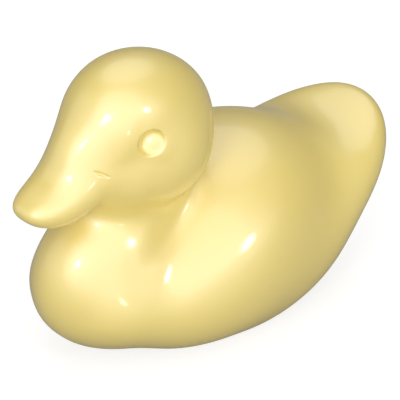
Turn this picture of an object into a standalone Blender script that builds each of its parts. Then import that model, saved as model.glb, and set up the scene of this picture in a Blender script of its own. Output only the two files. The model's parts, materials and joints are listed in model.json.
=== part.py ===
"""Duckling figurine: one solid casting of a duckling at rest, with its tail raised.

The form is a set of egg-shaped masses that flow into each other: trunk, wings,
breast, stern, neck, skull, brow, cheeks and bill. The skin is a loft of unlike
rings. They stand across a line that runs from the tail through the trunk, turns
up about the nape and down again about the throat, and ends at the tip of the
bill. One half is lofted and mirrored. The duckling faces -Y and rests on a flat
whose middle is the origin.
"""
import math

import bmesh
import bpy
import numpy as np

for old in list(bpy.data.objects):
    bpy.data.objects.remove(old, do_unlink=True)

MM = 0.001

# Trunk: the main mass, pitched up towards the stern
TRUNK_LENGTH = 55.9 * MM
TRUNK_WIDTH = 47.2 * MM
TRUNK_HEIGHT = 36.1 * MM
TRUNK_PITCH = 23.6
TRUNK_FORE = 0.5 * MM
TRUNK_LIFT = 20.0 * MM

# Wings: one long mass along each side of the trunk
WING_LENGTH = 64.2 * MM
WING_WIDTH = 25.8 * MM
WING_HEIGHT = 22.4 * MM
WING_PITCH = -5.5
WING_SPREAD = 7.2 * MM
WING_REACH = 2.3 * MM
WING_DROP = 6.0 * MM
WING_BLEND = 8.0 * MM

# Breast: the round mass in front of the trunk, with a groove between the two
BREAST_LENGTH = 46.8 * MM
BREAST_WIDTH = 27.1 * MM
BREAST_HEIGHT = 37.0 * MM
BREAST_REACH = 18.4 * MM
BREAST_DROP = -1.0 * MM
BREAST_BLEND = 2.3 * MM

# Stern and tail: a flat mass that rises behind the trunk, dished on top
STERN_LENGTH = 59.3 * MM
STERN_WIDTH = 39.1 * MM
STERN_THICKNESS = 18.7 * MM
STERN_PITCH = 28.9
STERN_REACH = 22.3 * MM
STERN_DROP = 3.8 * MM
STERN_BLEND = 13.8 * MM
DISH_LENGTH = 47.7 * MM
DISH_WIDTH = 144.0 * MM
DISH_THICKNESS = 26.4 * MM
DISH_PITCH = 41.8
DISH_REACH = 25.7 * MM
DISH_RISE = 29.8 * MM
DISH_BLEND = 4.9 * MM

# Neck: a stout stem that leans forward between the trunk and the head
NECK_LENGTH = 33.8 * MM
NECK_WIDTH = 25.7 * MM
NECK_HEIGHT = 21.8 * MM
NECK_PITCH = 9.6
NECK_REACH = 18.3 * MM
NECK_RISE = 26.3 * MM
NECK_BLEND = 6.7 * MM

# Clefts: a soft hollow on each side parts the neck from the wing behind it
CLEFT_LENGTH = 21.1 * MM
CLEFT_WIDTH = 4.7 * MM
CLEFT_HEIGHT = 9.1 * MM
CLEFT_PITCH = -10.6
CLEFT_TURN = 16.6
CLEFT_SPREAD = 14.0 * MM
CLEFT_REACH = 21.5 * MM
CLEFT_RISE = 13.2 * MM
CLEFT_BLEND = 2.3 * MM

# Head: the skull, the brow that runs down to the bill, and two cheeks
SKULL_LENGTH = 34.9 * MM
SKULL_WIDTH = 25.6 * MM
SKULL_HEIGHT = 27.0 * MM
SKULL_PITCH = 25.5
SKULL_REACH = -2.7 * MM
SKULL_RISE = 8.6 * MM
SKULL_BLEND = 1.7 * MM
BROW_LENGTH = 15.6 * MM
BROW_WIDTH = 9.7 * MM
BROW_HEIGHT = 11.3 * MM
BROW_PITCH = -27.3
BROW_REACH = 13.6 * MM
BROW_DROP = -0.3 * MM
BROW_BLEND = 4.0 * MM
CHEEK_DIAMETER = 23.4 * MM
CHEEK_SPREAD = 3.1 * MM
CHEEK_REACH = -1.7 * MM
CHEEK_DROP = 6.6 * MM
CHEEK_BLEND = 4.0 * MM

# Bill: a broad paddle, turned down, that tapers and curls up a little to its tip
BILL_LENGTH = 22.7 * MM
BILL_WIDTH = 15.1 * MM
BILL_THICKNESS = 10.7 * MM
BILL_PITCH = 22.5
BILL_CURL_RADIUS = 20.8 * MM
BILL_SQUARENESS = 2.7
BILL_TAPER = 0.2
BILL_REACH = 20.3 * MM
BILL_DROP = 9.5 * MM
BILL_BLEND = 8.8 * MM

# Eyes: a raised bead in a shallow round socket on each side of the head
SOCKET_DIAMETER = 7.0 * MM
SOCKET_DEPTH = 1.1 * MM
SOCKET_BLEND = 0.8 * MM
BEAD_DIAMETER = 4.8 * MM
BEAD_PROUD = 0.1 * MM
BEAD_BLEND = 0.4 * MM
EYE_REACH = 6.6 * MM
EYE_RISE = 1.6 * MM

# Nostrils: a short slanted slit on each side of the bill's root
NOSTRIL_LENGTH = 4.0 * MM
NOSTRIL_WIDTH = 2.2 * MM
NOSTRIL_DEPTH = 0.35 * MM
NOSTRIL_BLEND = 0.8 * MM
NOSTRIL_REACH = 17.5 * MM
NOSTRIL_DROP = 2.9 * MM
NOSTRIL_LEAN = 20.0

# Resting flat, cut across the belly with a soft edge
FLAT_BLEND = 0.8 * MM

# Loft: the fan points stand this far off the nape and the throat
FAN_CLEARANCE = 2.0 * MM
RINGS = 106
HALF_RING_STEPS = 28
EYE_CROWDING = 2.2
NOSTRIL_CROWDING = 1.6
SEARCH_STEPS = 40
SEARCH_HALVINGS = 20
TIP_SHARE = 0.08
FLAT_TOLERANCE = 0.001 * MM
TINY = 1e-9

COLOUR = (0.82, 0.68, 0.26, 1.0)
ROUGHNESS = 0.25

TRUNK = (TRUNK_FORE, TRUNK_LIFT)
WING = (TRUNK[0] + WING_REACH, TRUNK[1] - WING_DROP)
BREAST = (TRUNK[0] + BREAST_REACH, TRUNK[1] - BREAST_DROP)
STERN = (TRUNK[0] - STERN_REACH, TRUNK[1] - STERN_DROP)
DISH = (TRUNK[0] - DISH_REACH, TRUNK[1] + DISH_RISE)
NECK = (TRUNK[0] + NECK_REACH, TRUNK[1] + NECK_RISE)
CLEFT = (TRUNK[0] + CLEFT_REACH, TRUNK[1] + CLEFT_RISE)
SKULL = (NECK[0] + SKULL_REACH, NECK[1] + SKULL_RISE)
BROW = (SKULL[0] + BROW_REACH, SKULL[1] - BROW_DROP)
CHEEK = (SKULL[0] + CHEEK_REACH, SKULL[1] - CHEEK_DROP)
BILL = (SKULL[0] + BILL_REACH, SKULL[1] - BILL_DROP)


def egg(point, centre, size, pitch=0.0, squareness=2.0, curl=0.0, taper=0.0):
    """Rough distance to an ellipsoid of the given length, width and height.

    Its length is pitched up by degrees. The plan outline can be squarer than an
    ellipse, curl bends the length upwards, as one over the bend's radius, and the
    width shrinks by the share taper from the middle to the fore end.
    """
    across, fore, up = point
    angle = math.radians(pitch)
    ahead = fore - centre[0]
    above = up - centre[1]
    along = ahead * math.cos(angle) + above * math.sin(angle)
    over = above * math.cos(angle) - ahead * math.sin(angle) - curl * along ** 2 / 2
    length, width, height = (value / 2 for value in size)
    beam = width * (1 - taper * np.clip(along / length, -1, 1))
    a = np.abs(along) / length + TINY
    b = np.abs(across) / beam + TINY
    c = over / height
    plan = a ** squareness + b ** squareness
    steer = plan ** (2 / squareness - 1)
    size_here = np.sqrt(plan ** (2 / squareness) + c * c)
    slope_a = steer * a ** (squareness - 1) / length
    slope_b = steer * b ** (squareness - 1) / beam
    slope = np.sqrt(slope_a ** 2 + slope_b ** 2 + (c / height) ** 2) + TINY
    return (size_here - 1) * size_here / slope


def joined(first, second, blend):
    """Two masses that flow into each other over the width of the blend."""
    share = np.clip(0.5 + 0.5 * (second - first) / blend, 0, 1)
    return second * (1 - share) + first * share - blend * share * (1 - share)


def cut(first, second, blend):
    """The first mass less the second, with a rounded edge."""
    return -joined(-first, second, blend)


def trunk_mass(point):
    """Trunk, breast, stern, dished tail and wings."""
    across, fore, up = point
    one_side = (np.abs(across) - WING_SPREAD, fore, up)
    trunk = egg(point, TRUNK, (TRUNK_LENGTH, TRUNK_WIDTH, TRUNK_HEIGHT), -TRUNK_PITCH)
    breast = egg(point, BREAST, (BREAST_LENGTH, BREAST_WIDTH, BREAST_HEIGHT))
    stern = egg(point, STERN, (STERN_LENGTH, STERN_WIDTH, STERN_THICKNESS), -STERN_PITCH)
    dish = egg(point, DISH, (DISH_LENGTH, DISH_WIDTH, DISH_THICKNESS), DISH_PITCH)
    wing = egg(one_side, WING, (WING_LENGTH, WING_WIDTH, WING_HEIGHT), -WING_PITCH)
    whole = joined(trunk, breast, BREAST_BLEND)
    whole = joined(whole, cut(stern, dish, DISH_BLEND), STERN_BLEND)
    return joined(whole, wing, WING_BLEND)


def cleft(point):
    """An egg on each side, turned by degrees about its own upright."""
    angle = math.radians(CLEFT_TURN)
    outer = np.abs(point[0]) - CLEFT_SPREAD
    ahead = point[1] - CLEFT[0]
    across = outer * math.cos(angle) - ahead * math.sin(angle)
    fore = CLEFT[0] + outer * math.sin(angle) + ahead * math.cos(angle)
    size = (CLEFT_LENGTH, CLEFT_WIDTH, CLEFT_HEIGHT)
    return egg((across, fore, point[2]), CLEFT, size, CLEFT_PITCH)


def plain_head(point):
    """Skull, brow, cheeks and bill, without eyes or nostrils."""
    across, fore, up = point
    one_side = (np.abs(across) - CHEEK_SPREAD, fore, up)
    skull = egg(point, SKULL, (SKULL_LENGTH, SKULL_WIDTH, SKULL_HEIGHT), SKULL_PITCH)
    brow = egg(point, BROW, (BROW_LENGTH, BROW_WIDTH, BROW_HEIGHT), BROW_PITCH)
    cheek = egg(one_side, CHEEK, (CHEEK_DIAMETER,) * 3)
    bill = egg(
        point,
        BILL,
        (BILL_LENGTH, BILL_WIDTH, BILL_THICKNESS),
        -BILL_PITCH,
        BILL_SQUARENESS,
        1 / BILL_CURL_RADIUS,
        BILL_TAPER,
    )
    whole = joined(skull, brow, BROW_BLEND)
    whole = joined(whole, cheek, CHEEK_BLEND)
    return joined(whole, bill, BILL_BLEND)


def first_change(field, start, heading, reach, leaving):
    """How far along heading the skin of the field is first crossed from start.

    Even steps look for the first change of side, which is then halved down.
    """
    side = -1.0 if leaving else 1.0
    far = np.full(len(start), reach)
    waiting = np.arange(len(start))
    for step in range(1, SEARCH_STEPS + 1):
        distance = reach * step / SEARCH_STEPS
        spots = start[waiting] + heading[waiting] * distance
        crossed = field(spots.T) * side < 0
        far[waiting[crossed]] = distance
        waiting = waiting[~crossed]
        if not len(waiting):
            break
    near = far - reach / SEARCH_STEPS
    for _ in range(SEARCH_HALVINGS):
        middle = (near + far) / 2
        crossed = field((start + heading * middle[:, None]).T) * side < 0
        far = np.where(crossed, middle, far)
        near = np.where(crossed, near, middle)
    return far


def outward(field, spot):
    """Unit normal of the field at one point, from small differences."""
    step = 0.05 * MM
    slope = [
        field(spot + step * axis)[()] - field(spot - step * axis)[()] for axis in np.eye(3)
    ]
    return np.array(slope) / np.linalg.norm(slope)


def frame_on_head(fore, up, lean):
    """A point on the head's left side, with axes along, across and out of the skin.

    The first axis lies in the skin and leans by degrees from level, tail end down.
    """
    start = np.array([[0.0, fore, up]])
    left = np.array([[1.0, 0.0, 0.0]])
    spot = start[0] + left[0] * first_change(plain_head, start, left, SKULL_WIDTH, True)[0]
    out = outward(plain_head, spot)
    angle = math.radians(lean)
    along = np.array([0.0, math.cos(angle), math.sin(angle)])
    along -= out * along.dot(out)
    along /= np.linalg.norm(along)
    return spot, np.array([along, np.cross(out, along), out])


def pip(point, spot, axes, size, lift):
    """Rough distance to a small ellipsoid that stands lift above a point of the skin."""
    offset = np.array([np.abs(point[0]), point[1], point[2]])
    offset -= (spot + axes[2] * lift).reshape((3,) + (1,) * (offset.ndim - 1))
    local = np.tensordot(axes, offset, axes=1)
    half = (np.array(size) / 2).reshape((3,) + (1,) * (offset.ndim - 1))
    reach = np.sqrt(((local / half) ** 2).sum(axis=0)) + TINY
    slope = np.sqrt(((local / half ** 2) ** 2).sum(axis=0)) + TINY
    return reach * (reach - 1) / slope


EYE = frame_on_head(SKULL[0] + EYE_REACH, SKULL[1] + EYE_RISE, 0.0)
NOSTRIL = frame_on_head(SKULL[0] + NOSTRIL_REACH, SKULL[1] - NOSTRIL_DROP, NOSTRIL_LEAN)
SOCKET_RADIUS = (SOCKET_DIAMETER ** 2 / 4 + SOCKET_DEPTH ** 2) / (2 * SOCKET_DEPTH)


def head_mass(point):
    """The head with its eyes and nostrils."""
    socket = pip(point, *EYE, (2 * SOCKET_RADIUS,) * 3, SOCKET_RADIUS - SOCKET_DEPTH)
    bead = pip(point, *EYE, (BEAD_DIAMETER,) * 3, BEAD_PROUD - BEAD_DIAMETER / 2)
    nostril_size = (NOSTRIL_LENGTH, NOSTRIL_WIDTH, 2 * NOSTRIL_DEPTH)
    nostril = pip(point, *NOSTRIL, nostril_size, 0.0)
    whole = cut(plain_head(point), socket, SOCKET_BLEND)
    whole = joined(whole, bead, BEAD_BLEND)
    return cut(whole, nostril, NOSTRIL_BLEND)


def duckling(point):
    """Rough distance to the whole casting at (across, fore, up), negative inside."""
    neck = egg(point, NECK, (NECK_LENGTH, NECK_WIDTH, NECK_HEIGHT), NECK_PITCH)
    body = cut(joined(trunk_mass(point), neck, NECK_BLEND), cleft(point), CLEFT_BLEND)
    whole = joined(body, head_mass(point), SKULL_BLEND)
    return cut(whole, point[2], FLAT_BLEND)


def level_heading(count, direction):
    """The same heading (across, fore, up), repeated."""
    return np.tile(np.array(direction, float), (count, 1))


def find_nape():
    """The fan point behind the neck: where the first way out upwards leaps to the crown."""
    fore = np.linspace(TRUNK[0] - TRUNK_LENGTH / 4, SKULL[0], 600)
    start = np.stack([fore * 0, fore, fore * 0 + TRUNK[1]], axis=1)
    rise = first_change(duckling, start, level_heading(600, (0, 0, 1)), 4 * TRUNK_HEIGHT, True)
    leap = np.argmax(np.diff(rise))
    return np.array([fore[leap] - FAN_CLEARANCE, TRUNK[1] + rise[leap]])


def find_throat():
    """The fan point under the chin: where the first way out downwards leaps to the chin."""
    fore = np.linspace(SKULL[0], BILL[0] + BILL_LENGTH / 4, 600)
    start = np.stack([fore * 0, fore, fore * 0 + BILL[1]], axis=1)
    fall = first_change(duckling, start, level_heading(600, (0, 0, -1)), BILL[1] * 1.1, True)
    leap = np.argmin(np.diff(fall)) + 1
    return np.array([fore[leap] + FAN_CLEARANCE, BILL[1] - fall[leap]])


NAPE = find_nape()
THROAT = find_throat()


def stern_fan(turn):
    """Planes across stern and trunk: they share a line high above the nape."""
    pitch = math.radians(STERN_PITCH)
    tail_end = np.array(STERN) + STERN_LENGTH / 2 * np.array([-math.cos(pitch), math.sin(pitch)])
    height = (NAPE[0] - tail_end[0]) / math.tan(pitch) + tail_end[1] - NAPE[1]
    heading = np.stack([-np.sin(turn), -np.cos(turn)], axis=1)
    return NAPE + np.array([0, height]) + heading * height, heading, -heading


def neck_fan(turn):
    """Planes across the breast: they turn about the nape."""
    heading = np.stack([np.sin(turn), -np.cos(turn)], axis=1)
    return np.tile(NAPE, (len(turn), 1)), heading, -heading


def head_fan(turn):
    """Planes across the head: they turn about the throat."""
    heading = np.stack([np.cos(turn), np.sin(turn)], axis=1)
    return np.tile(THROAT, (len(turn), 1)), heading, heading


def bill_row(shift):
    """Planes across the bill, square to its length."""
    pitch = math.radians(BILL_PITCH)
    ahead = np.array([math.cos(pitch), -math.sin(pitch)])
    heading = np.tile(np.array([math.sin(pitch), math.cos(pitch)]), (len(shift), 1))
    return THROAT + shift[:, None] * ahead, heading, heading


def chords(planes):
    """Depths along each plane's middle line where it enters and leaves the casting."""
    start, heading, _ = planes
    depth = np.linspace(0, TRUNK_LENGTH, 500)
    spots = start[:, None, :] + depth[None, :, None] * heading[:, None, :]
    fore = spots[..., 0].ravel()
    gap = duckling(np.stack([fore * 0, fore, spots[..., 1].ravel()]))
    gap = gap.reshape(len(start), len(depth))
    first = (gap < 0).argmax(axis=1)
    later = (gap >= 0) & (np.arange(len(depth)) > first[:, None])
    entry = crossing(depth, gap, first)
    return (gap < 0).any(axis=1), entry, crossing(depth, gap, later.argmax(axis=1))


def crossing(depth, gap, index):
    """Depth just before each index where the gap passes through nought."""
    row = np.arange(len(index))
    before = np.maximum(index - 1, 0)
    share = gap[row, before] / (gap[row, before] - gap[row, index] + TINY)
    return depth[before] + np.clip(share, 0, 1) * (depth[index] - depth[before])


def last_touch(planes_at, inner, outer):
    """The outermost plane of a family that still meets the casting."""
    for _ in range(24):
        middle = (inner + outer) / 2
        if chords(planes_at(np.array([middle])))[0][0]:
            inner = middle
        else:
            outer = middle
    return inner


def all_planes(stations):
    """Planes from tail to bill at stations 0 to 4, one fan or row for each unit."""
    across_neck = THROAT - NAPE
    neck_turn = math.pi / 2 + math.atan2(across_neck[1], across_neck[0])
    turn_end = math.pi / 2 - math.radians(BILL_PITCH)
    pieces = [
        (stern_fan, lambda t: TAIL_TURN * (1 - t ** 2)),
        (neck_fan, lambda t: neck_turn * t),
        (head_fan, lambda t: (neck_turn + math.pi / 2) * (1 - t) + turn_end * t),
        (bill_row, lambda t: BILL_REST * (1 - (1 - t) ** 2)),
    ]
    piece_of = np.clip(stations.astype(int), 0, 3)
    found = [np.zeros((len(stations), 2)) for _ in range(3)]
    for number, (planes_at, place) in enumerate(pieces):
        chosen = piece_of == number
        if chosen.any():
            for whole, part in zip(found, planes_at(place(stations[chosen] - number))):
                whole[chosen] = part
    return found


TAIL_TURN = last_touch(stern_fan, 0.0, math.pi / 3)
BILL_REST = last_touch(bill_row, 0.0, 2 * BILL_LENGTH)


def ring_points(stations, turns):
    """Skin points at the turns of each ring: 0 is the back and pi the belly."""
    start, heading, dorsal = all_planes(stations)
    _, entry, leaving = chords((start, heading, dorsal))
    centre = start + heading * ((entry + leaving) / 2)[:, None]
    count = turns.shape[1]
    side = np.sin(turns).ravel()
    up = np.cos(turns).ravel()[:, None] * np.repeat(dorsal, count, axis=0)
    rays = np.column_stack([side, up])
    middle = np.repeat(np.column_stack([np.zeros(len(centre)), centre]), count, axis=0)
    reach = first_change(duckling, middle, rays, TRUNK_WIDTH, True)
    return (middle + rays * reach[:, None]).reshape(len(stations), count, 3)


def crowding(points):
    """Weight of a stretch of skin: more rings and points near the eye and nostril."""
    from_eye = np.linalg.norm(points - EYE[0], axis=-1) / SOCKET_DIAMETER
    from_nostril = np.linalg.norm(points - NOSTRIL[0], axis=-1) / NOSTRIL_LENGTH
    near_eye = EYE_CROWDING * np.exp(-from_eye ** 2)
    return 1 + near_eye + NOSTRIL_CROWDING * np.exp(-from_nostril ** 2)


def evenly(places, lengths, count):
    """Places that split the summed lengths into equal shares."""
    total = np.concatenate([[0], np.cumsum(lengths)])
    return np.interp(np.linspace(0, total[-1], count), total, places)


def choose_stations(count):
    """Ring stations an even stretch of skin apart, closer near the eye."""
    fine = np.linspace(TIP_SHARE, 4 - TIP_SHARE, 240)
    turns = np.tile(np.linspace(0, math.pi, 25), (len(fine), 1))
    points = ring_points(fine, turns)
    stretch = np.linalg.norm(np.diff(points, axis=0), axis=2)
    weight = crowding((points[1:] + points[:-1]) / 2)
    return evenly(fine, (stretch * weight).max(axis=1), count)


def choose_turns(stations, count):
    """Turns an even stretch of skin apart on each ring, closer near the eye."""
    fine = np.tile(np.linspace(0, math.pi, 91), (len(stations), 1))
    points = ring_points(stations, fine)
    stretch = np.linalg.norm(np.diff(points, axis=1), axis=2)
    stretch = stretch * crowding((points[:, 1:] + points[:, :-1]) / 2)
    return np.array([evenly(row, part, count) for row, part in zip(fine, stretch)])


def tip_point(station):
    """The middle of the last sliver of the casting that a plane meets."""
    planes = all_planes(np.array([station]))
    _, entry, leaving = chords(planes)
    fore, up = (planes[0] + planes[1] * (entry + leaving) / 2)[0]
    return np.array([0.0, fore, up])


def half_skin():
    """Points and faces of the left half: rings of skin closed by a tip at each end."""
    stations = choose_stations(RINGS)
    rings = ring_points(stations, choose_turns(stations, HALF_RING_STEPS + 1))
    rings[:, 0, 0] = 0.0
    rings[:, -1, 0] = 0.0
    rings[..., 2] = np.where(rings[..., 2] < FLAT_TOLERANCE, 0.0, rings[..., 2])
    points = np.concatenate([rings.reshape(-1, 3), [tip_point(0.0), tip_point(4.0)]])
    number = np.arange(rings.shape[0] * rings.shape[1]).reshape(rings.shape[:2])
    quads = np.stack(
        [number[:-1, :-1], number[1:, :-1], number[1:, 1:], number[:-1, 1:]], axis=-1
    ).reshape(-1, 4)
    tail, tip = len(points) - 2, len(points) - 1
    faces = quads.tolist()
    faces += [[tail, a, b] for a, b in zip(number[0, :-1], number[0, 1:])]
    faces += [[tip, b, a] for a, b in zip(number[-1, :-1], number[-1, 1:])]
    return points, faces


def build_duckling(collection):
    """The casting as one mirrored object."""
    points, faces = half_skin()
    bench = np.column_stack([points[:, 0], -points[:, 1], points[:, 2]])
    mesh = bpy.data.meshes.new("duckling")
    mesh.from_pydata(bench.tolist(), [], faces)
    shell = bmesh.new()
    shell.from_mesh(mesh)
    bmesh.ops.recalc_face_normals(shell, faces=shell.faces)
    shell.to_mesh(mesh)
    shell.free()
    mesh.shade_smooth()
    casting = bpy.data.objects.new("duckling", mesh)
    mirror = casting.modifiers.new("other half", "MIRROR")
    mirror.use_axis = (True, False, False)
    mirror.use_clip = True
    mirror.merge_threshold = 0.00001
    collection.objects.link(casting)
    return casting


def cast_material():
    """Smooth, pale yellow, glossy casting resin."""
    material = bpy.data.materials.new("yellow_resin")
    material.use_nodes = True
    shader = material.node_tree.nodes["Principled BSDF"]
    shader.inputs["Base Color"].default_value = COLOUR
    shader.inputs["Roughness"].default_value = ROUGHNESS
    shader.inputs["Metallic"].default_value = 0.0
    return material


figurine = bpy.data.collections.new("duckling_figurine")
bpy.context.scene.collection.children.link(figurine)
build_duckling(figurine).data.materials.append(cast_material())
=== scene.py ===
"""Duckling figurine in its finish: one glossy casting on a plain studio floor."""
import json
import math

import bpy
import numpy as np
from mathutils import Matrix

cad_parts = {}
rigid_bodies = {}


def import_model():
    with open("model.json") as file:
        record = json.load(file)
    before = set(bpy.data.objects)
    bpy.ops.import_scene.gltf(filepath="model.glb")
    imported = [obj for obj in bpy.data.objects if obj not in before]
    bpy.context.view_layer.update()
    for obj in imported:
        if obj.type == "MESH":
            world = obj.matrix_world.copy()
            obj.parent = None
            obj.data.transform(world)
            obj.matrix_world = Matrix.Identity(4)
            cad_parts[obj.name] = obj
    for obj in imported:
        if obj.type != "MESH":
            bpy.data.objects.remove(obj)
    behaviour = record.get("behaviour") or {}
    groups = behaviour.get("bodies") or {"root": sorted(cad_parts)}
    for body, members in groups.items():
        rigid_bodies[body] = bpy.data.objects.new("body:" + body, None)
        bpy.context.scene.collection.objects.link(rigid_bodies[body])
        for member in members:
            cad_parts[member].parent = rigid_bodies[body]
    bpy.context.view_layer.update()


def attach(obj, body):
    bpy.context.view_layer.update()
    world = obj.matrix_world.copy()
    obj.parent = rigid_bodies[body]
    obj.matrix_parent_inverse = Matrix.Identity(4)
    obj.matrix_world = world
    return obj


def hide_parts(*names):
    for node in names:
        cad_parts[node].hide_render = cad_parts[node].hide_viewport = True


for leftover in list(bpy.data.objects):
    bpy.data.objects.remove(leftover, do_unlink=True)
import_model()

# Trunk and wings
# The trunk is the main mass of the casting, pitched up towards the stern.
# A long wing mass lies along each side of it and melts into it.
MM = 0.001
TINY = 1e-9
TRUNK_LENGTH = 55.9 * MM
TRUNK_WIDTH = 47.2 * MM
TRUNK_HEIGHT = 36.1 * MM
TRUNK_PITCH = 23.6
TRUNK_FORE = 0.5 * MM
TRUNK_LIFT = 20.0 * MM
WING_LENGTH = 64.2 * MM
WING_WIDTH = 25.8 * MM
WING_HEIGHT = 22.4 * MM
WING_PITCH = -5.5
WING_SPREAD = 7.2 * MM
WING_REACH = 2.3 * MM
WING_DROP = 6.0 * MM
WING_BLEND = 8.0 * MM
TRUNK = (TRUNK_FORE, TRUNK_LIFT)
WING = (TRUNK[0] + WING_REACH, TRUNK[1] - WING_DROP)


def egg(point, centre, size, pitch=0.0, squareness=2.0, curl=0.0, taper=0.0):
    """Rough distance to an ellipsoid: (r - 1) r over the length of the slope of r.

    r is the root of (along/length)^2 + (across/width)^2 + (over/height)^2 in half
    sizes. The first two powers grow with squareness, curl bends the length up, and
    the width shrinks by the share taper from the middle to the fore end.
    """
    across, fore, up = point
    angle = math.radians(pitch)
    ahead = fore - centre[0]
    above = up - centre[1]
    along = ahead * math.cos(angle) + above * math.sin(angle)
    over = above * math.cos(angle) - ahead * math.sin(angle) - curl * along ** 2 / 2
    length, width, height = (value / 2 for value in size)
    beam = width * (1 - taper * np.clip(along / length, -1, 1))
    a = np.abs(along) / length + TINY
    b = np.abs(across) / beam + TINY
    c = over / height
    plan = a ** squareness + b ** squareness
    steer = plan ** (2 / squareness - 1)
    reach = np.sqrt(plan ** (2 / squareness) + c * c)
    slope_a = steer * a ** (squareness - 1) / length
    slope_b = steer * b ** (squareness - 1) / beam
    slope = np.sqrt(slope_a ** 2 + slope_b ** 2 + (c / height) ** 2) + TINY
    return (reach - 1) * reach / slope


def joined(first, second, blend):
    """Two masses that melt together: the lesser distance, less blend s (1 - s).

    s runs from 0 to 1 as the first mass comes nearer than the second.
    """
    share = np.clip(0.5 + 0.5 * (second - first) / blend, 0, 1)
    return second * (1 - share) + first * share - blend * share * (1 - share)


def with_wings(whole, point):
    """The trunk's mass with a wing egg on each side, found on the absolute width."""
    one_side = (np.abs(point[0]) - WING_SPREAD, point[1], point[2])
    wing = egg(one_side, WING, (WING_LENGTH, WING_WIDTH, WING_HEIGHT), -WING_PITCH)
    return joined(whole, wing, WING_BLEND)


# Breast
# The round mass in front of the trunk. It joins the trunk over a narrow blend,
# which leaves the soft groove down each side where the wing begins.
BREAST_LENGTH = 46.8 * MM
BREAST_WIDTH = 27.1 * MM
BREAST_HEIGHT = 37.0 * MM
BREAST_REACH = 18.4 * MM
BREAST_DROP = -1.0 * MM
BREAST_BLEND = 2.3 * MM
BREAST = (TRUNK[0] + BREAST_REACH, TRUNK[1] - BREAST_DROP)


def trunk_and_breast(point):
    """The trunk's egg melted into the breast's egg."""
    trunk = egg(point, TRUNK, (TRUNK_LENGTH, TRUNK_WIDTH, TRUNK_HEIGHT), -TRUNK_PITCH)
    breast = egg(point, BREAST, (BREAST_LENGTH, BREAST_WIDTH, BREAST_HEIGHT))
    return joined(trunk, breast, BREAST_BLEND)


# Stern and tail
# A flat mass that rises behind the trunk. A wide shallow dish is pressed into its
# top, so that the tail ends in a thin rounded rim.
STERN_LENGTH = 59.3 * MM
STERN_WIDTH = 39.1 * MM
STERN_THICKNESS = 18.7 * MM
STERN_PITCH = 28.9
STERN_REACH = 22.3 * MM
STERN_DROP = 3.8 * MM
STERN_BLEND = 13.8 * MM
DISH_LENGTH = 47.7 * MM
DISH_WIDTH = 144.0 * MM
DISH_THICKNESS = 26.4 * MM
DISH_PITCH = 41.8
DISH_REACH = 25.7 * MM
DISH_RISE = 29.8 * MM
DISH_BLEND = 4.9 * MM
STERN = (TRUNK[0] - STERN_REACH, TRUNK[1] - STERN_DROP)
DISH = (TRUNK[0] - DISH_REACH, TRUNK[1] + DISH_RISE)


def cut(first, second, blend):
    """The first mass less the second: joined with both distances turned about."""
    return -joined(-first, second, blend)


def tail(point):
    """The stern's egg with the dish's egg cut out of its top."""
    stern = egg(point, STERN, (STERN_LENGTH, STERN_WIDTH, STERN_THICKNESS), -STERN_PITCH)
    dish = egg(point, DISH, (DISH_LENGTH, DISH_WIDTH, DISH_THICKNESS), DISH_PITCH)
    return cut(stern, dish, DISH_BLEND)


# Neck
# A stout stem that leans forward between the trunk and the head. A soft cleft on
# each side parts it from the wing behind it.
NECK_LENGTH = 33.8 * MM
NECK_WIDTH = 25.7 * MM
NECK_HEIGHT = 21.8 * MM
NECK_PITCH = 9.6
NECK_REACH = 18.3 * MM
NECK_RISE = 26.3 * MM
NECK_BLEND = 6.7 * MM
CLEFT_LENGTH = 21.1 * MM
CLEFT_WIDTH = 4.7 * MM
CLEFT_HEIGHT = 9.1 * MM
CLEFT_PITCH = -10.6
CLEFT_TURN = 16.6
CLEFT_SPREAD = 14.0 * MM
CLEFT_REACH = 21.5 * MM
CLEFT_RISE = 13.2 * MM
CLEFT_BLEND = 2.3 * MM
NECK = (TRUNK[0] + NECK_REACH, TRUNK[1] + NECK_RISE)
CLEFT = (TRUNK[0] + CLEFT_REACH, TRUNK[1] + CLEFT_RISE)


def cleft(point):
    """An egg on each side, turned by CLEFT_TURN degrees about its own upright."""
    angle = math.radians(CLEFT_TURN)
    outer = np.abs(point[0]) - CLEFT_SPREAD
    ahead = point[1] - CLEFT[0]
    across = outer * math.cos(angle) - ahead * math.sin(angle)
    fore = CLEFT[0] + outer * math.sin(angle) + ahead * math.cos(angle)
    size = (CLEFT_LENGTH, CLEFT_WIDTH, CLEFT_HEIGHT)
    return egg((across, fore, point[2]), CLEFT, size, CLEFT_PITCH)


def body_mass(point):
    """Everything below the head: trunk, breast, tail, wings and neck."""
    whole = joined(trunk_and_breast(point), tail(point), STERN_BLEND)
    neck = egg(point, NECK, (NECK_LENGTH, NECK_WIDTH, NECK_HEIGHT), NECK_PITCH)
    whole = joined(with_wings(whole, point), neck, NECK_BLEND)
    return cut(whole, cleft(point), CLEFT_BLEND)


# Head and bill
# The skull, a brow that runs down its front to the bill, and a cheek on each side.
# The bill is a broad paddle, turned down, whose tip curls up a little.
SKULL_LENGTH = 34.9 * MM
SKULL_WIDTH = 25.6 * MM
SKULL_HEIGHT = 27.0 * MM
SKULL_PITCH = 25.5
SKULL_REACH = -2.7 * MM
SKULL_RISE = 8.6 * MM
SKULL_BLEND = 1.7 * MM
BROW_LENGTH = 15.6 * MM
BROW_WIDTH = 9.7 * MM
BROW_HEIGHT = 11.3 * MM
BROW_PITCH = -27.3
BROW_REACH = 13.6 * MM
BROW_DROP = -0.3 * MM
BROW_BLEND = 4.0 * MM
CHEEK_DIAMETER = 23.4 * MM
CHEEK_SPREAD = 3.1 * MM
CHEEK_REACH = -1.7 * MM
CHEEK_DROP = 6.6 * MM
CHEEK_BLEND = 4.0 * MM
BILL_LENGTH = 22.7 * MM
BILL_WIDTH = 15.1 * MM
BILL_THICKNESS = 10.7 * MM
BILL_PITCH = 22.5
BILL_CURL_RADIUS = 20.8 * MM
BILL_SQUARENESS = 2.7
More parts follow.
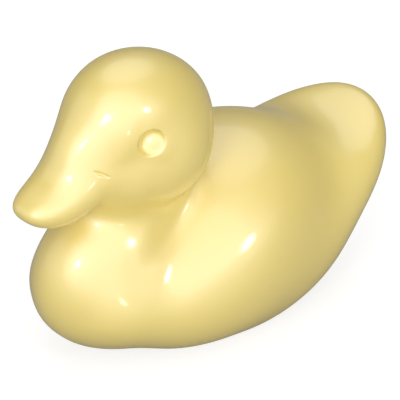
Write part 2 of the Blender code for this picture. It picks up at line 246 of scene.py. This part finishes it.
BILL_TAPER = 0.2
BILL_REACH = 20.3 * MM
BILL_DROP = 9.5 * MM
BILL_BLEND = 8.8 * MM
SKULL = (NECK[0] + SKULL_REACH, NECK[1] + SKULL_RISE)
BROW = (SKULL[0] + BROW_REACH, SKULL[1] - BROW_DROP)
CHEEK = (SKULL[0] + CHEEK_REACH, SKULL[1] - CHEEK_DROP)
BILL = (SKULL[0] + BILL_REACH, SKULL[1] - BILL_DROP)


def plain_head(point):
    """Skull, brow, cheeks and bill melted together, without eyes or nostrils."""
    one_side = (np.abs(point[0]) - CHEEK_SPREAD, point[1], point[2])
    skull = egg(point, SKULL, (SKULL_LENGTH, SKULL_WIDTH, SKULL_HEIGHT), SKULL_PITCH)
    brow = egg(point, BROW, (BROW_LENGTH, BROW_WIDTH, BROW_HEIGHT), BROW_PITCH)
    cheek = egg(one_side, CHEEK, (CHEEK_DIAMETER,) * 3)
    bill = egg(
        point,
        BILL,
        (BILL_LENGTH, BILL_WIDTH, BILL_THICKNESS),
        -BILL_PITCH,
        BILL_SQUARENESS,
        1 / BILL_CURL_RADIUS,
        BILL_TAPER,
    )
    whole = joined(skull, brow, BROW_BLEND)
    whole = joined(whole, cheek, CHEEK_BLEND)
    return joined(whole, bill, BILL_BLEND)


# Eyes, nostrils and mouth
# Each eye is a low bead that sits against the back of a round socket and melts
# into the cheek there. The nostrils are short slanted slits, and a fine crease
# marks each corner of the mouth.
SOCKET_DIAMETER = 6.2 * MM
SOCKET_DEPTH = 2.2 * MM
SOCKET_BLEND = 0.3 * MM
BEAD_DIAMETER = 6.6 * MM
BEAD_THICKNESS = 3.2 * MM
BEAD_PROUD = -0.40 * MM
BEAD_SLIDE = 2.5 * MM
BEAD_TILT = 10.0
BEAD_BLEND = 1.1 * MM
EYE_REACH = 6.7 * MM
EYE_RISE = 1.5 * MM
EYE_LEAN = 43.0
NOSTRIL_LENGTH = 4.4 * MM
NOSTRIL_WIDTH = 0.7 * MM
NOSTRIL_DEPTH = 0.35 * MM
NOSTRIL_BLEND = 0.2 * MM
NOSTRIL_REACH = 16.9 * MM
NOSTRIL_DROP = 3.4 * MM
NOSTRIL_LEAN = 32.0
MOUTH_LENGTH = 3.4 * MM
MOUTH_WIDTH = 0.8 * MM
MOUTH_DEPTH = 0.35 * MM
MOUTH_BLEND = 0.4 * MM
MOUTH_REACH = 16.2 * MM
MOUTH_DROP = 10.9 * MM
MOUTH_LEAN = -8.0
SOCKET_RADIUS = (SOCKET_DIAMETER ** 2 / 4 + SOCKET_DEPTH ** 2) / (2 * SOCKET_DEPTH)
SEARCH_STEPS = 40
SEARCH_HALVINGS = 22
SLOPE_STEP = 0.05 * MM


def first_change(field, start, heading, reach, leaving):
    """How far along heading the skin of the field is first crossed from start.

    Even steps look for the first change of side, which is then halved down.
    """
    side = -1.0 if leaving else 1.0
    far = np.full(len(start), reach)
    waiting = np.arange(len(start))
    for step in range(1, SEARCH_STEPS + 1):
        distance = reach * step / SEARCH_STEPS
        spots = start[waiting] + heading[waiting] * distance
        crossed = field(spots.T) * side < 0
        far[waiting[crossed]] = distance
        waiting = waiting[~crossed]
        if not len(waiting):
            break
    near = far - reach / SEARCH_STEPS
    for _ in range(SEARCH_HALVINGS):
        middle = (near + far) / 2
        crossed = field((start + heading * middle[:, None]).T) * side < 0
        far = np.where(crossed, middle, far)
        near = np.where(crossed, near, middle)
    return far


def spot_on_head(fore, up, lean):
    """A point of the head's left side and three axes: along, across and out.

    Out is the slope of the head's distance. Along lies in the skin and leans by
    degrees from level. Across is square to both.
    """
    start = np.array([[0.0, fore, up]])
    left = np.array([[1.0, 0.0, 0.0]])
    spot = start[0] + left[0] * first_change(plain_head, start, left, SKULL_WIDTH, True)[0]
    nudges = SLOPE_STEP * np.eye(3)
    slope = [float(plain_head(spot + nudge) - plain_head(spot - nudge)) for nudge in nudges]
    out = np.array(slope) / np.linalg.norm(slope)
    angle = math.radians(lean)
    along = np.array([0.0, math.cos(angle), math.sin(angle)])
    along -= out * along.dot(out)
    along /= np.linalg.norm(along)
    return spot, np.array([along, np.cross(out, along), out])


def pip(point, spot, axes, size, lift):
    """Rough distance to a small ellipsoid that stands lift above a point of the skin."""
    offset = np.array([np.abs(point[0]), point[1], point[2]])
    offset -= (spot + axes[2] * lift)[:, None]
    local = np.tensordot(axes, offset, axes=1)
    half = (np.array(size) / 2)[:, None]
    reach = np.sqrt(((local / half) ** 2).sum(axis=0)) + TINY
    slope = np.sqrt(((local / half ** 2) ** 2).sum(axis=0)) + TINY
    return reach * (reach - 1) / slope


def tipped(axes, degrees):
    """The same three axes after out has leant towards along by some degrees."""
    along, across, out = axes
    angle = math.radians(degrees)
    return np.array([
        along * math.cos(angle) - out * math.sin(angle),
        across,
        out * math.cos(angle) + along * math.sin(angle),
    ])


EYE = spot_on_head(SKULL[0] + EYE_REACH, SKULL[1] + EYE_RISE, EYE_LEAN)
BEAD = (EYE[0] - EYE[1][0] * BEAD_SLIDE, tipped(EYE[1], BEAD_TILT))
NOSTRIL = spot_on_head(SKULL[0] + NOSTRIL_REACH, SKULL[1] - NOSTRIL_DROP, NOSTRIL_LEAN)
MOUTH = spot_on_head(SKULL[0] + MOUTH_REACH, SKULL[1] - MOUTH_DROP, MOUTH_LEAN)


def head_mass(point):
    """The head with its eyes, nostrils and mouth corners."""
    socket = pip(point, *EYE, (2 * SOCKET_RADIUS,) * 3, SOCKET_RADIUS - SOCKET_DEPTH)
    bead_size = (BEAD_DIAMETER, BEAD_DIAMETER, BEAD_THICKNESS)
    bead = pip(point, *BEAD, bead_size, BEAD_PROUD - BEAD_THICKNESS / 2)
    nostril_size = (NOSTRIL_LENGTH, NOSTRIL_WIDTH, 2 * NOSTRIL_DEPTH)
    mouth_size = (MOUTH_LENGTH, MOUTH_WIDTH, 2 * MOUTH_DEPTH)
    whole = cut(plain_head(point), socket, SOCKET_BLEND)
    whole = joined(whole, bead, BEAD_BLEND)
    whole = cut(whole, pip(point, *NOSTRIL, nostril_size, 0.0), NOSTRIL_BLEND)
    return cut(whole, pip(point, *MOUTH, mouth_size, 0.0), MOUTH_BLEND)


# The whole casting
# All masses together, cut off level under the belly for the duckling to rest on.
FLAT_BLEND = 0.8 * MM
FLAT_TOLERANCE = 0.001 * MM


def duckling(point):
    """Rough distance to the whole casting at (across, fore, up), negative inside."""
    whole = joined(body_mass(point), head_mass(point), SKULL_BLEND)
    return cut(whole, point[2], FLAT_BLEND)


# The skin
# Rings of skin stand across a line from the tail through the trunk. They turn up
# about the nape, down again about the throat, and end at the tip of the bill.
FAN_CLEARANCE = 2.0 * MM
RINGS = 310
HALF_RING_STEPS = 150
EYE_CROWDING = 4.0
NOSTRIL_CROWDING = 3.0
TIP_SHARE = 0.05
PROFILE_SAMPLES = 900
CHORD_SAMPLES = 600
STATION_SAMPLES = 400
COARSE_TURNS = 31
FINE_TURNS = 121
LAST_STATION = 4


def fan_point(first, last, level, heading, clearance):
    """Where the first way out of the middle profile leaps as the start moves along.

    The starts stand side by side at one level from first to last, and the way out
    is straight up or down. The point stands clear of the skin at the leap.
    """
    fore = np.linspace(first, last, PROFILE_SAMPLES)
    start = np.stack([fore * 0, fore, fore * 0 + level], axis=1)
    ways = np.tile([0.0, 0.0, heading], (PROFILE_SAMPLES, 1))
    reach = first_change(duckling, start, ways, 2 * TRUNK_LENGTH, True)
    leap = np.diff(reach)
    index = leap.argmax() if heading > 0 else leap.argmin() + 1
    return np.array([fore[index] + clearance, level + heading * reach[index]])


NAPE = fan_point(TRUNK[0] - TRUNK_LENGTH / 4, SKULL[0], TRUNK[1], 1.0, -FAN_CLEARANCE)
THROAT = fan_point(SKULL[0], BILL[0] + BILL_LENGTH / 4, BILL[1], -1.0, FAN_CLEARANCE)


def stern_fan(turn):
    """Planes across stern and trunk: they share a line high above the nape."""
    pitch = math.radians(STERN_PITCH)
    tail_end = np.array(STERN) + STERN_LENGTH / 2 * np.array([-math.cos(pitch), math.sin(pitch)])
    height = (NAPE[0] - tail_end[0]) / math.tan(pitch) + tail_end[1] - NAPE[1]
    heading = np.stack([-np.sin(turn), -np.cos(turn)], axis=1)
    return NAPE + np.array([0, height]) + heading * height, heading, -heading


def neck_fan(turn):
    """Planes across the breast: they turn about the nape."""
    heading = np.stack([np.sin(turn), -np.cos(turn)], axis=1)
    return np.tile(NAPE, (len(turn), 1)), heading, -heading


def head_fan(turn):
    """Planes across the head: they turn about the throat."""
    heading = np.stack([np.cos(turn), np.sin(turn)], axis=1)
    return np.tile(THROAT, (len(turn), 1)), heading, heading


def bill_row(shift):
    """Planes across the bill, square to its length."""
    pitch = math.radians(BILL_PITCH)
    ahead = np.array([math.cos(pitch), -math.sin(pitch)])
    heading = np.tile(np.array([math.sin(pitch), math.cos(pitch)]), (len(shift), 1))
    return THROAT + shift[:, None] * ahead, heading, heading


def crossing(depth, gap, index):
    """Depth just before each index where the gap passes through nought."""
    row = np.arange(len(index))
    before = np.maximum(index - 1, 0)
    share = gap[row, before] / (gap[row, before] - gap[row, index] + TINY)
    return depth[before] + np.clip(share, 0, 1) * (depth[index] - depth[before])


def chords(planes):
    """Whether each plane meets the casting, and the depths where it does so."""
    start, heading, _ = planes
    depth = np.linspace(0, TRUNK_LENGTH, CHORD_SAMPLES)
    spots = start[:, None, :] + depth[None, :, None] * heading[:, None, :]
    fore = spots[..., 0].ravel()
    gap = duckling(np.stack([fore * 0, fore, spots[..., 1].ravel()]))
    gap = gap.reshape(len(start), CHORD_SAMPLES)
    first = (gap < 0).argmax(axis=1)
    later = (gap >= 0) & (np.arange(CHORD_SAMPLES) > first[:, None])
    entry = crossing(depth, gap, first)
    return (gap < 0).any(axis=1), entry, crossing(depth, gap, later.argmax(axis=1))


def last_touch(planes_at, inner, outer):
    """The outermost plane of a family that still meets the casting, by halving."""
    for _ in range(SEARCH_HALVINGS):
        middle = (inner + outer) / 2
        if chords(planes_at(np.array([middle])))[0][0]:
            inner = middle
        else:
            outer = middle
    return inner


TAIL_TURN = last_touch(stern_fan, 0.0, math.pi / 3)
BILL_REST = last_touch(bill_row, 0.0, 2 * BILL_LENGTH)


def all_planes(stations):
    """Planes from tail to bill at stations 0 to 4, one fan or row for each unit.

    The first and last families crowd towards the two tips with the square of the
    station, so that the rings shrink evenly there.
    """
    across_neck = THROAT - NAPE
    neck_turn = math.pi / 2 + math.atan2(across_neck[1], across_neck[0])
    turn_end = math.pi / 2 - math.radians(BILL_PITCH)
    families = [
        (stern_fan, lambda t: TAIL_TURN * (1 - t ** 2)),
        (neck_fan, lambda t: neck_turn * t),
        (head_fan, lambda t: (neck_turn + math.pi / 2) * (1 - t) + turn_end * t),
        (bill_row, lambda t: BILL_REST * (1 - (1 - t) ** 2)),
    ]
    family_of = np.clip(stations.astype(int), 0, LAST_STATION - 1)
    found = [np.zeros((len(stations), 2)) for _ in range(3)]
    for number, (planes_at, place) in enumerate(families):
        chosen = family_of == number
        if chosen.any():
            for whole, part in zip(found, planes_at(place(stations[chosen] - number))):
                whole[chosen] = part
    return found


def ring_points(stations, turns):
    """Skin points on rays that leave each ring's middle at the given turns.

    A ray's heading is sin(turn) sideways plus cos(turn) towards the back, so turn
    0 is the back and pi the belly.
    """
    start, heading, dorsal = all_planes(stations)
    _, entry, leaving = chords((start, heading, dorsal))
    centre = start + heading * ((entry + leaving) / 2)[:, None]
    count = turns.shape[1]
    up = np.cos(turns).ravel()[:, None] * np.repeat(dorsal, count, axis=0)
    rays = np.column_stack([np.sin(turns).ravel(), up])
    middle = np.repeat(np.column_stack([np.zeros(len(centre)), centre]), count, axis=0)
    reach = first_change(duckling, middle, rays, TRUNK_WIDTH, True)
    return (middle + rays * reach[:, None]).reshape(len(stations), count, 3)


def crowding(points):
    """Weight of a stretch of skin: 1, and more by bell curves near eye and nostril."""
    from_eye = np.linalg.norm(points - EYE[0], axis=-1)
    from_nostril = np.linalg.norm(points - NOSTRIL[0], axis=-1)
    near_eye = np.exp(-(from_eye / SOCKET_DIAMETER) ** 2)
    near_nostril = np.exp(-(from_nostril / NOSTRIL_LENGTH) ** 2)
    return 1 + EYE_CROWDING * near_eye + NOSTRIL_CROWDING * near_nostril


def evenly(places, lengths, count):
    """Places that split the summed lengths into equal shares."""
    total = np.concatenate([[0], np.cumsum(lengths)])
    return np.interp(np.linspace(0, total[-1], count), total, places)


def choose_stations(count):
    """Ring stations an even stretch of skin apart, closer near eye and nostril."""
    fine = np.linspace(TIP_SHARE, LAST_STATION - TIP_SHARE, STATION_SAMPLES)
    turns = np.tile(np.linspace(0, math.pi, COARSE_TURNS), (len(fine), 1))
    points = ring_points(fine, turns)
    stretch = np.linalg.norm(np.diff(points, axis=0), axis=2)
    weight = crowding((points[1:] + points[:-1]) / 2)
    return evenly(fine, (stretch * weight).max(axis=1), count)


def choose_turns(stations, count):
    """Turns an even stretch of skin apart on each ring, closer near eye and nostril."""
    fine = np.tile(np.linspace(0, math.pi, FINE_TURNS), (len(stations), 1))
    points = ring_points(stations, fine)
    stretch = np.linalg.norm(np.diff(points, axis=1), axis=2)
    stretch = stretch * crowding((points[:, 1:] + points[:, :-1]) / 2)
    return np.array([evenly(row, part, count) for row, part in zip(fine, stretch)])


def tip_point(station):
    """The middle of the last sliver of the casting that a plane meets."""
    planes = all_planes(np.array([station]))
    _, entry, leaving = chords(planes)
    fore, up = (planes[0] + planes[1] * (entry + leaving) / 2)[0]
    return [0.0, fore, up]


def closed_skin():
    """Points and faces of the whole skin.

    The left half's grid is followed round each ring by its mirror image, without
    the two columns on the middle plane, and a tip closes each end.
    """
    stations = choose_stations(RINGS)
    left = ring_points(stations, choose_turns(stations, HALF_RING_STEPS + 1))
    left[:, [0, -1], 0] = 0.0
    left[..., 2] = np.where(left[..., 2] < FLAT_TOLERANCE, 0.0, left[..., 2])
    right = left[:, -2:0:-1] * np.array([-1.0, 1.0, 1.0])
    rings = np.concatenate([left, right], axis=1)
    tips = [tip_point(0.0), tip_point(float(LAST_STATION))]
    points = np.concatenate([rings.reshape(-1, 3), tips])
    number = np.arange(rings.shape[0] * rings.shape[1]).reshape(rings.shape[:2])
    beside = np.roll(number, -1, axis=1)
    quads = np.stack([number[:-1], number[1:], beside[1:], beside[:-1]], axis=-1)
    tail_tip, bill_tip = len(points) - 2, len(points) - 1
    faces = quads.reshape(-1, 4).tolist()
    faces += [[tail_tip, a, b] for a, b in zip(number[0], beside[0])]
    faces += [[bill_tip, b, a] for a, b in zip(number[-1], beside[-1])]
    return points * np.array([1.0, -1.0, 1.0]), faces


skin_points, skin_faces = closed_skin()
skin = bpy.data.meshes.new("duckling_skin")
skin.from_pydata(skin_points.tolist(), [], skin_faces)
skin.shade_smooth()
casting = bpy.data.objects.new("duckling_casting", skin)
bpy.context.scene.collection.objects.link(casting)
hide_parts("duckling")
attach(casting, "root")

# The resin
# Pale yellow casting resin, polished and clear-coated. The pigment clouds very
# slightly, and the coat has the faint waviness of a poured and dipped finish.
RESIN = (0.94, 0.74, 0.18, 1.0)
RESIN_DEEP = (0.91, 0.70, 0.155, 1.0)
CLOUD_SCALE = 45.0
WAVE_SCALE = 260.0
WAVE_HEIGHT = 0.00002
BASE_ROUGHNESS = 0.50
ROUGHNESS_SPREAD = 0.05
BASE_GLOSS = 1.0
BASE_IOR = 2.0
COAT_SHARE = 0.7
COAT_ROUGHNESS = 0.11


class Wire:
    """A shader socket: sums and products of wires and numbers add Math nodes."""

    def __init__(self, tree, socket=None):
        self.tree = tree
        self.socket = socket

    def node(self, kind, settings, inputs, output=0):
        """Adds a node of a kind with its settings and the values or links of its sockets.

        Returns the wire of the output named or numbered, or a bare one if it has none.
        """
        made = self.tree.nodes.new(kind)
        for name, value in settings.items():
            setattr(made, name, value)
        for key, value in inputs.items():
            if isinstance(value, Wire):
                self.tree.links.new(value.socket, made.inputs[key])
            else:
                made.inputs[key].default_value = value
        return Wire(self.tree, made.outputs[output] if len(made.outputs) else None)

    def __add__(self, other):
        return self.node("ShaderNodeMath", {"operation": "ADD"}, {0: self, 1: other})

    def __mul__(self, other):
        return self.node("ShaderNodeMath", {"operation": "MULTIPLY"}, {0: self, 1: other})

    __radd__ = __add__
    __rmul__ = __mul__


def resin():
    """Gloss plastic with a soft inner sheen under a sharp clear coat."""
    material = bpy.data.materials.new("yellow_resin")
    material.use_nodes = True
    material.node_tree.nodes.clear()
    bench = Wire(material.node_tree)
    place = bench.node("ShaderNodeTexCoord", {}, {}, "Object")
    cloud_grain = {"Vector": place, "Scale": CLOUD_SCALE, "Detail": 3.0}
    cloud = bench.node("ShaderNodeTexNoise", {}, cloud_grain, "Fac")
    wave_grain = {"Vector": place, "Scale": WAVE_SCALE, "Detail": 1.0}
    wave = bench.node("ShaderNodeTexNoise", {}, wave_grain, "Fac")
    pigments = {"Factor": cloud, 6: RESIN_DEEP, 7: RESIN}
    colour = bench.node("ShaderNodeMix", {"data_type": "RGBA"}, pigments, 2)
    bump = bench.node("ShaderNodeBump", {}, {"Height": wave, "Distance": WAVE_HEIGHT})
    finish = {
        "Base Color": colour,
        "Roughness": cloud * ROUGHNESS_SPREAD + (BASE_ROUGHNESS - ROUGHNESS_SPREAD / 2),
        "IOR": BASE_IOR,
        "Specular IOR Level": BASE_GLOSS,
        "Coat Weight": COAT_SHARE,
        "Coat Roughness": COAT_ROUGHNESS,
        "Normal": bump,
    }
    shader = bench.node("ShaderNodeBsdfPrincipled", {}, finish)
    bench.node("ShaderNodeOutputMaterial", {}, {"Surface": shader})
    return material


skin.materials.append(resin())

# Camera
# A long lens from the duckling's front left and above, as in the photograph.
CAMERA_AZIMUTH = 47.14
CAMERA_ELEVATION = 34.82
CAMERA_DISTANCE = 2.36
VIEW_WIDTH = 82.0 * MM
AIM = np.array([1.37, 0.03, 26.35]) * MM
SENSOR = 36.0


def photo_axes():
    """Unit vectors to the picture's right, to its top, and towards the camera."""
    turn = math.radians(CAMERA_AZIMUTH)
    rise = math.radians(CAMERA_ELEVATION)
    right = [math.cos(turn), math.sin(turn), 0.0]
    top = [-math.sin(turn) * math.sin(rise), math.cos(turn) * math.sin(rise), math.cos(rise)]
    back = [math.sin(turn) * math.cos(rise), -math.cos(turn) * math.cos(rise), math.sin(rise)]
    return np.array([right, top, back])


PHOTO_AXES = photo_axes()


def look(thing, spot, target):
    """Puts a camera or lamp at spot and turns its -Z towards target, with +Y up."""
    back = (spot - target) / np.linalg.norm(spot - target)
    side = np.cross([0.0, 0.0, 1.0], back)
    side /= np.linalg.norm(side)
    turn = np.eye(4)
    turn[:3, 0] = side
    turn[:3, 1] = np.cross(back, side)
    turn[:3, 2] = back
    turn[:3, 3] = spot
    thing.matrix_world = turn.T.tolist()


lens = bpy.data.cameras.new("camera")
lens.sensor_width = SENSOR
lens.lens = SENSOR * CAMERA_DISTANCE / VIEW_WIDTH
lens.clip_start = CAMERA_DISTANCE / 100
lens.clip_end = CAMERA_DISTANCE * 10
camera = bpy.data.objects.new("camera", lens)
bpy.context.scene.collection.objects.link(camera)
look(camera, AIM + PHOTO_AXES[2] * CAMERA_DISTANCE, AIM)
bpy.context.scene.camera = camera

# Lamps and surroundings
# Three small lamps make the highlights. Wide soft ones in front, above and at the
# left give the shading, and a weak even light fills the rest. The camera itself
# sees white all round.
LAMP_DISTANCE = 0.9
AMBIENT = 0.17
WHITE_UNIT = math.pi ** 2


def lamp(name, direction, diameter, share):
    """A round lamp in a direction of the picture (right, up, near).

    share is the brightness of a white sheet that faces it, where 1 is white.
    """
    light = bpy.data.lights.new(name, "AREA")
    light.shape = "DISK"
    light.size = diameter
    light.energy = WHITE_UNIT * (LAMP_DISTANCE ** 2 + diameter ** 2 / 4) * share
    made = bpy.data.objects.new(name, light)
    made.visible_camera = False
    bpy.context.scene.collection.objects.link(made)
    way = np.array(direction) @ PHOTO_AXES
    look(made, AIM + way / np.linalg.norm(way) * LAMP_DISTANCE, AIM)


lamp("left_lamp", (-0.25, -0.13, 0.96), 0.18, 0.17)
lamp("right_lamp", (0.70, 0.02, 0.71), 0.15, 0.16)
lamp("low_lamp", (0.42, -0.50, 0.76), 0.07, 0.03)
lamp("front_box", (0.0, 0.03, 1.0), 1.50, 0.55)
lamp("top_box", (0.05, 0.97, 0.10), 1.00, 0.26)
lamp("side_box", (-0.97, 0.10, 0.20), 1.00, 0.14)

world = bpy.data.worlds.new("surroundings")
world.use_nodes = True
world.node_tree.nodes.clear()
air = Wire(world.node_tree)
seen = air.node("ShaderNodeLightPath", {}, {}, "Is Camera Ray")
even_light = {"Color": (1, 1, 1, 1), "Strength": seen * (1 - AMBIENT) + AMBIENT}
fill = air.node("ShaderNodeBackground", {}, even_light)
air.node("ShaderNodeOutputWorld", {}, {"Surface": fill})
bpy.context.scene.world = world

# Floor
# A wide grey sheet under the duckling, white to the camera, with a soft shadow.
FLOOR_WIDTH = 3.0
FLOOR_GREY = 0.38
FLOOR_GLOW = 0.75


def floor_paper():
    """Matt paper that adds a glow for the camera alone, so that it renders white."""
    material = bpy.data.materials.new("floor_paper")
    material.use_nodes = True
    material.node_tree.nodes.clear()
    bench = Wire(material.node_tree)
    seen_here = bench.node("ShaderNodeLightPath", {}, {}, "Is Camera Ray")
    paper = bench.node("ShaderNodeBsdfDiffuse", {}, {"Color": (FLOOR_GREY,) * 3 + (1.0,)})
    glow = bench.node(
        "ShaderNodeEmission", {}, {"Color": (1, 1, 1, 1), "Strength": seen_here * FLOOR_GLOW}
    )
    both = bench.node("ShaderNodeAddShader", {}, {0: paper, 1: glow})
    bench.node("ShaderNodeOutputMaterial", {}, {"Surface": both})
    return material


half = FLOOR_WIDTH / 2
sheet = bpy.data.meshes.new("floor")
sheet.from_pydata(
    [(-half, -half, 0), (half, -half, 0), (half, half, 0), (-half, half, 0)], [], [(0, 1, 2, 3)]
)
sheet.materials.append(floor_paper())
floor = bpy.data.objects.new("floor", sheet)
bpy.context.scene.collection.objects.link(floor)

bpy.context.scene.view_settings.view_transform = "Standard"
